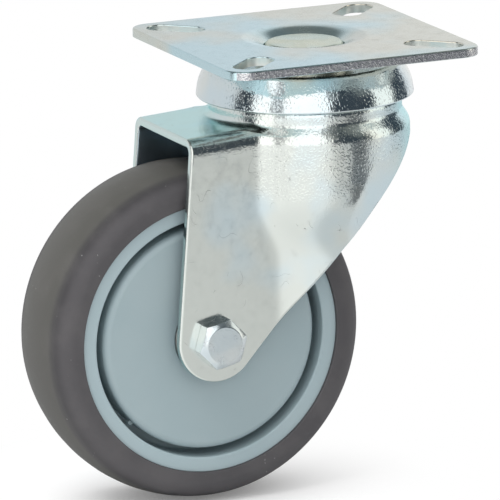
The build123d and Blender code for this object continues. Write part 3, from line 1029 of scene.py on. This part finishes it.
pale = fade(plastic, flow, 0.35, 0.7, 0.0, 0.10)
tone = blend(plastic, pale, given["Body"], (0.47, 0.53, 0.54, 1))
scuff = noise(plastic, spot, 2.0, 4.0, 0.7)
tone = blend(plastic, fade(plastic, scuff, 0.70, 0.80, 0.0, 0.25), tone, (0.26, 0.33, 0.35, 1))
skin = sums(plastic, "MULTIPLY", noise(plastic, spot, 0.35, 1.0), given["Grain"])
close_group(
    plastic,
    tone,
    sums(plastic, "MULTIPLY_ADD", fade(plastic, flow, 0.3, 0.7), 0.08, given["Gloss"]),
    sums(plastic, "MULTIPLY_ADD", noise(plastic, spot, 18.0, 1.0), 6.0, skin),
    0.008 * mm,
)
wheel.data.materials.append(
    finish("rim_plastic", plastic, {"Body": (0.36, 0.455, 0.485, 1)}, metallic=0.0)
)
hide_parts("wheel_centre")
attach(wheel, "wheel")

# ---------------- caps
# Thin moulded discs pressed over the wheel's pockets, one each side. A skirt behind the rounded
# edge stands on the web, held by two small lugs that show in the open groove.
cap_face = 11.6
cap_back = 9.8
cap_bore = 8.3
cap_radius = 25.05
skirt_inside = cap_radius - 1.8
skirt_foot = 3.05
cap_plastic = finish(
    "cap_plastic", plastic, {"Body": (0.325, 0.412, 0.437, 1), "Gloss": 0.38}, metallic=0.0
)


def far_side(piece, name):
    """A copy of the near piece, mirrored to the far side of the wheel."""
    copy = twin(piece, name)
    pick_all(copy)
    bpy.ops.transform.resize(value=(1, -1, 1), center_override=(0, 0, 0))
    bpy.ops.mesh.normals_make_consistent(inside=False)
    done()
    return copy


near_cap = turned(
    "near_cap_disc",
    rounded(
        [
            (cap_bore, -10.7), (cap_bore, -cap_face), (cap_radius, -cap_face),
            (cap_radius, -skirt_foot), (skirt_inside, -skirt_foot), (skirt_inside, -cap_back),
            (cap_bore, -cap_back), (cap_bore, -10.7),
        ],
        [0.3, 1.7, 0.2, 0.2, 0.5, 0.2],
    ),
    on_axle, along_axle, wheel_steps,
)
lug_reach = cap_radius + 0.1
lug_y = -7.2
lug_size = (1.2, 2.2, 1.6)
model_lug = basic("model_lug", bpy.ops.mesh.primitive_cube_add, size=mm, scale=lug_size)
ease_edges(model_lug, 0.3)
for turn in (radians(-135), radians(45)):
    lug = twin(model_lug, "lug")
    lug.rotation_euler.y = turn
    lug.location = (
        (axle_x + lug_reach * sin(turn)) * mm, lug_y * mm, (axle_z + lug_reach * cos(turn)) * mm
    )
    shape_with(near_cap, settle(lug), "UNION")
bpy.data.objects.remove(model_lug)
smooth_shade(near_cap, 30)
near_cap.data.materials.append(cap_plastic)
for cap, node in ((near_cap, "near_cap"), (far_side(near_cap, "far_cap_disc"), "far_cap")):
    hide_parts(node)
    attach(cap, "wheel")

# ---------------- bushes
# White nylon bearings, moulded in one with their flanges and pressed into both ends of the hub.
# The flanges run against the spacers.
nylon = finish(
    "nylon", plastic,
    {"Body": (0.72, 0.72, 0.68, 1), "Gloss": 0.34, "Grain": 0.6}, metallic=0.0,
)
bush_bore = 4.55
bush_radius = 6.5
bush_inner_end = 2.7
flange_radius = 7.8
flange_face = 10.7
near_bush = turned(
    "near_bush_flanged",
    rounded(
        [
            (bush_bore, -6.0), (bush_bore, -flange_face), (flange_radius, -flange_face),
            (flange_radius, -hub_end), (bush_radius, -hub_end), (bush_radius, -bush_inner_end),
            (bush_bore, -bush_inner_end), (bush_bore, -6.0),
        ],
        [0.3, 0.3, 0, 0, 0.3, 0.2],
        15.0,
    ),
    on_axle, along_axle, 96,
)
near_bush.data.materials.append(nylon)
far_bush = far_side(near_bush, "far_bush_flanged")
for bush, node in ((near_bush, "near_bush"), (far_bush, "far_bush")):
    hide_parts(node)
    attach(bush, "wheel")

# ---------------- axle tube and spacers
# Drawn steel tube that the bolt clamps between the legs, and two turned rings that keep the wheel
# central on it. All three are zinc plated.
tube_radius = 4.5
leg_inside = leg_y - fork_sheet
axle_tube = turned(
    "drawn_axle_tube",
    rounded(
        [
            (axle_hole, 0), (axle_hole, -leg_inside), (tube_radius, -leg_inside),
            (tube_radius, leg_inside), (axle_hole, leg_inside), (axle_hole, 0),
        ],
        [0.25, 0.25, 0.25, 0.25],
        20.0,
    ),
    on_axle, along_axle, 64,
)
spacer_bore = 4.53
spacer_radius = 7
spacer_face = 10.9
near_spacer = turned(
    "near_spacer_ring",
    rounded(
        [
            (spacer_bore, -12), (spacer_bore, -leg_inside), (spacer_radius, -leg_inside),
            (spacer_radius, -spacer_face), (spacer_bore, -spacer_face), (spacer_bore, -12),
        ],
        [0.2, 0.35, 0.35, 0.2],
        20.0,
    ),
    on_axle, along_axle, 64,
)
bolt_zinc = finish(
    "bolt_zinc", zinc,
    {
        "Cool": (0.66, 0.73, 0.76, 1), "Warm": (0.74, 0.78, 0.78, 1), "Cloud Size": 6.0,
        "Worked": 0.5, "Gloss": 0.2,
    },
)
near_spacer.data.materials.append(bolt_zinc)
axle_tube.data.materials.append(bolt_zinc)
for piece, node in (
    (axle_tube, "axle_tube"),
    (near_spacer, "near_spacer"),
    (far_side(near_spacer, "far_spacer_ring"), "far_spacer"),
):
    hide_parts(node)
    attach(piece, "fork")

# ---------------- axle bolt
# M6 hexagon bolt of zinc plated steel, cold headed, its outer face chamfered round. It goes
# through both legs and the tube, and its thread shows past the nut.
across_flats = 10
hex_corner = across_flats / 3**0.5
head_height = 4
head_end = -leg_y - head_height
bolt_radius = 3.0
bolt_end = 24.0
chamfer_start = 1.213  # how far behind the face the round chamfer cuts the corners
chamfer_radius = 4.1


def hexagon(name, near_y, far_y, corner_turn):
    """Hexagon bar along the axle between two faces, one corner corner_turn back from upright."""
    return basic(
        name, bpy.ops.mesh.primitive_cylinder_add, vertices=6, radius=hex_corner * mm,
        depth=(far_y - near_y) * mm, location=on_axle(0, (near_y + far_y) / 2),
        rotation=(pi / 2, radians(corner_turn), 0),
    )


bolt = hexagon("hexagon_bolt", head_end, -leg_y, 17)
shape_with(
    bolt,
    turned(
        "head_turning",
        rounded(
            [
                (0, 0.1 - leg_y), (6.2, 0.1 - leg_y), (6.2, head_end + chamfer_start),
                (chamfer_radius, head_end), (0, head_end),
            ],
            [0, 0.2, 0.5],
        ),
        on_axle, along_axle, 96,
    ),
    "INTERSECT",
)
ease_edges(bolt, 0.14, angle=25)
# Its thread, as grooves of 1 mm pitch
thread_start = 19.2
groove_floor = 2.42
thread = [(bolt_radius, thread_start)]
for turns in range(5):
    start = thread_start + 0.1 + turns
    thread += [
        (bolt_radius, start), (groove_floor, start + 0.45), (groove_floor, start + 0.55),
        (bolt_radius, start + 0.92),
    ]
shank = turned(
    "threaded_shank",
    [(0, -17), (bolt_radius, -17)]
    + [spot for spot in thread if spot[1] < 23.7]
    + [(2.4, bolt_end), (0, bolt_end)],
    on_axle, along_axle, 64,
)
shape_with(bolt, shank, "UNION")
smooth_shade(bolt, 25)
bolt.data.materials.append(bolt_zinc)
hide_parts("axle_bolt")
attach(bolt, "fork")

# ---------------- nut, its ring and its washer
# Zinc plated lock nut with a nylon ring crimped into its round collar, screwed on the bolt over
# a plain washer on the far leg.
washer_face = 17.2
nut_end = 21.6
nut_hole = 3.03
collar_end = 23.2
ring_seat = 3.93
ring_floor = 21.8
nut = hexagon("collared_nut", washer_face, nut_end, 90)
nut_outline = rounded(
    [
        (0, 17.1), (6.2, 17.1), (6.2, nut_end - chamfer_start), (chamfer_radius, nut_end),
        (0, nut_end),
    ],
    [0, 0.2, 0],
)
collar = rounded(
    [(0, 20), (4.7, 20), (4.7, collar_end), (ring_seat, collar_end), (ring_seat, 23), (0, 23)],
    [0, 0.7, 0, 0],
)
nut_bore = [
    (0, 16.5), (3.5, 16.5), (3.5, washer_face), (nut_hole, 17.7), (nut_hole, ring_floor),
    (ring_seat, ring_floor), (ring_seat, 24), (0, 24),
]
for section, operation, steps in (
    (nut_outline, "INTERSECT", 96),
    (collar, "UNION", 96),
    (nut_bore, "DIFFERENCE", 64),
):
    shape_with(nut, turned("nut_tool", section, on_axle, along_axle, steps), operation)
ease_edges(nut, 0.12, angle=28)
nut_ring = turned(
    "nut_insert",
    rounded(
        [
            (nut_hole, 22.5), (nut_hole, collar_end), (3.9, collar_end), (3.9, ring_floor),
            (nut_hole, ring_floor), (nut_hole, 22.5),
        ],
        [0.3, 0.25, 0, 0],
    ),
    on_axle, along_axle, 64,
)
washer = turned(
    "plain_washer",
    rounded(
        [
            (axle_hole, 16.6), (axle_hole, leg_y), (6, leg_y), (6, washer_face),
            (axle_hole, washer_face), (axle_hole, 16.6),
        ],
        [0.1, 0.15, 0.4, 0.1],
    ),
    on_axle, along_axle, 96,
)
for piece, coat, node, slot in (
    (nut, bolt_zinc, "lock_nut", "bolt"),
    (nut_ring, nylon, "nut_ring", "nylon"),
    (washer, bolt_zinc, "nut_washer", "bolt"),
):
    piece.data.materials.append(coat)
    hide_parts(node)
    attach(piece, "fork")

# ---------------- floor and light
# White table top with a plain white room beyond, one soft lamp high on the left, and the dark and
# light panels of the studio, which only the bright metal shows.
floor_radius = 520 * mm
floor_z = -100 * mm
table_white = (0.97, 0.97, 0.97, 1)
floor = basic(
    "floor", bpy.ops.mesh.primitive_circle_add, vertices=96, radius=floor_radius,
    fill_type="NGON", location=(axle_x * mm, 0, floor_z),
)
table = bpy.data.materials.new("white_table")
table.use_nodes = True
tree = table.node_tree
shader = tree.nodes["Principled BSDF"]
shader.inputs["Roughness"].default_value = 0.9
shader.inputs["Specular IOR Level"].default_value = 0.0
spot = add(tree, "ShaderNodeTexCoord", {}).outputs["Object"]
camera_ray = add(tree, "ShaderNodeLightPath", {}).outputs["Is Camera Ray"]
# Painted shade: for every ray but the eye's, the table is painted greyer away from the lamp, and
# the metal reflects it so; the eye sees it white
aside = add(tree, "ShaderNodeVectorMath", {0: spot, 1: on_axle(0, -16)}, operation="SUBTRACT")
aside = add(tree, "ShaderNodeSeparateXYZ", {"Vector": aside.outputs["Vector"]}).outputs
heading = sums(tree, "MULTIPLY", sums(tree, "ARCTAN2", aside["Y"], aside["X"]), 180 / pi)
grey = blend(tree, fade(tree, heading, -155.0, -138.0), table_white, (0.75, 0.76, 0.76, 1))
grey = blend(tree, fade(tree, heading, -88.0, -68.0), grey, (0.55, 0.56, 0.56, 1))
reach = add(
    tree, "ShaderNodeVectorMath", {0: spot, 1: (axle_x * mm, 0, floor_z)}, operation="DISTANCE"
).outputs["Value"]
# Painted shade: a narrow sector of the table, beyond 0.14 m from below the axle, is painted near
# black
gap = sums(tree, "MULTIPLY", fade(tree, heading, -62.0, -56.0), fade(tree, reach, 0.14, 0.20))
grey = blend(tree, gap, grey, (0.14, 0.15, 0.16, 1))
grey = blend(tree, fade(tree, heading, -42.0, -36.0), grey, (0.62, 0.63, 0.64, 1))
tree.links.new(blend(tree, camera_ray, grey, table_white), shader.inputs["Base Color"])
# The eye sees plain white a little beyond the wheel's shadow
beyond = sums(tree, "MULTIPLY", fade(tree, reach, 0.012, 0.06, 0.15, 1.0), camera_ray)
white = add(tree, "ShaderNodeEmission", {"Strength": 1.0})
mixed = add(tree, "ShaderNodeMixShader", {0: beyond, 1: shader.outputs[0], 2: white.outputs[0]})
tree.links.new(mixed.outputs[0], tree.nodes["Material Output"].inputs["Surface"])
floor.data.materials.append(table)

bpy.ops.object.light_add(type="AREA", location=(-0.45, -0.14, 0.85))
lamp = bpy.context.object
lamp.name = "key_lamp"
lamp.data.shape = "SQUARE"
lamp.data.size = 0.6
lamp.data.energy = 4.5
aim = Vector((axle_x * mm, 0, -0.06)) - lamp.location
lamp.rotation_euler = aim.to_track_quat("-Z", "Y").to_euler()
lamp.visible_glossy = False

world = bpy.data.worlds.new("studio")
bpy.context.scene.world = world
world.use_nodes = True
tree = world.node_tree
tree.nodes.clear()
way = add(tree, "ShaderNodeTexCoord", {}).outputs["Generated"]
way = add(tree, "ShaderNodeSeparateXYZ", {"Vector": way}).outputs
heading = sums(tree, "MULTIPLY_ADD", sums(tree, "ARCTAN2", way["Y"], way["X"]), 0.5 / pi, 0.5)
rise = sums(tree, "MULTIPLY", sums(tree, "ARCSINE", way["Z"]), 180 / pi)
# Panels round the table: where each ends and how high it reaches, in degrees, and its colour
white_panel = (1.45, 1.45, 1.45, 1)
light_wall = (0.95, 0.95, 0.95, 1)
grey_wall = (0.77, 0.79, 0.81, 1)
dark_gap = (0.045, 0.06, 0.075, 1)
panels = (
    (-171, 60, dark_gap),
    (-149, 60, white_panel),
    (-137, 60, (0.42, 0.43, 0.44, 1)),
    (-87, 60, white_panel),
    (-75, 14, dark_gap),
    (-57, 60, dark_gap),
    (-35, 14, dark_gap),
    (-7, 50, (1.25, 1.22, 1.12, 1)),
    (23, 40, dark_gap),
    (66, 34, light_wall),
    (167, 34, grey_wall),
    (180, 40, dark_gap),
)
soft_edge = 1.5
colours = add(tree, "ShaderNodeValToRGB", {"Fac": heading})
heights = add(tree, "ShaderNodeValToRGB", {"Fac": heading})
for ramp in (colours.color_ramp, heights.color_ramp):
    start = -180.0
    for end, height, colour in panels:
        if ramp == heights.color_ramp:
            colour = (height / 90, height / 90, height / 90, 1)
        for edge in (max(start + soft_edge, -179.9), min(end - soft_edge, 179.9)):
            ramp.elements.new((edge + 180) / 360).color = colour
        start = end
    ramp.elements.remove(ramp.elements[0])
    ramp.elements.remove(ramp.elements[-1])
low = blend(tree, fade(tree, rise, -26.0, -19.0), (0.9, 0.9, 0.9, 1), colours.outputs["Color"])
above = sums(tree, "MULTIPLY_ADD", heights.outputs["Color"], -90.0, rise)
overhead = fade(tree, rise, 80.0, 86.0)
ceiling = blend(tree, overhead, (0.17, 0.19, 0.19, 1), (0.80, 0.81, 0.82, 1))
high = blend(tree, fade(tree, above, -6.0, 8.0), low, ceiling)
mirrored = add(tree, "ShaderNodeBackground", {"Color": high, "Strength": 1.0})
soft_light = add(tree, "ShaderNodeBackground", {"Color": (1, 1, 1, 1), "Strength": 1.0})
mirror_ray = add(tree, "ShaderNodeLightPath", {}).outputs["Is Glossy Ray"]
seen = add(
    tree, "ShaderNodeMixShader",
    {0: mirror_ray, 1: soft_light.outputs[0], 2: mirrored.outputs[0]},
)
add(tree, "ShaderNodeOutputWorld", {"Surface": seen.outputs[0]})

bpy.context.scene.view_settings.view_transform = "Standard"
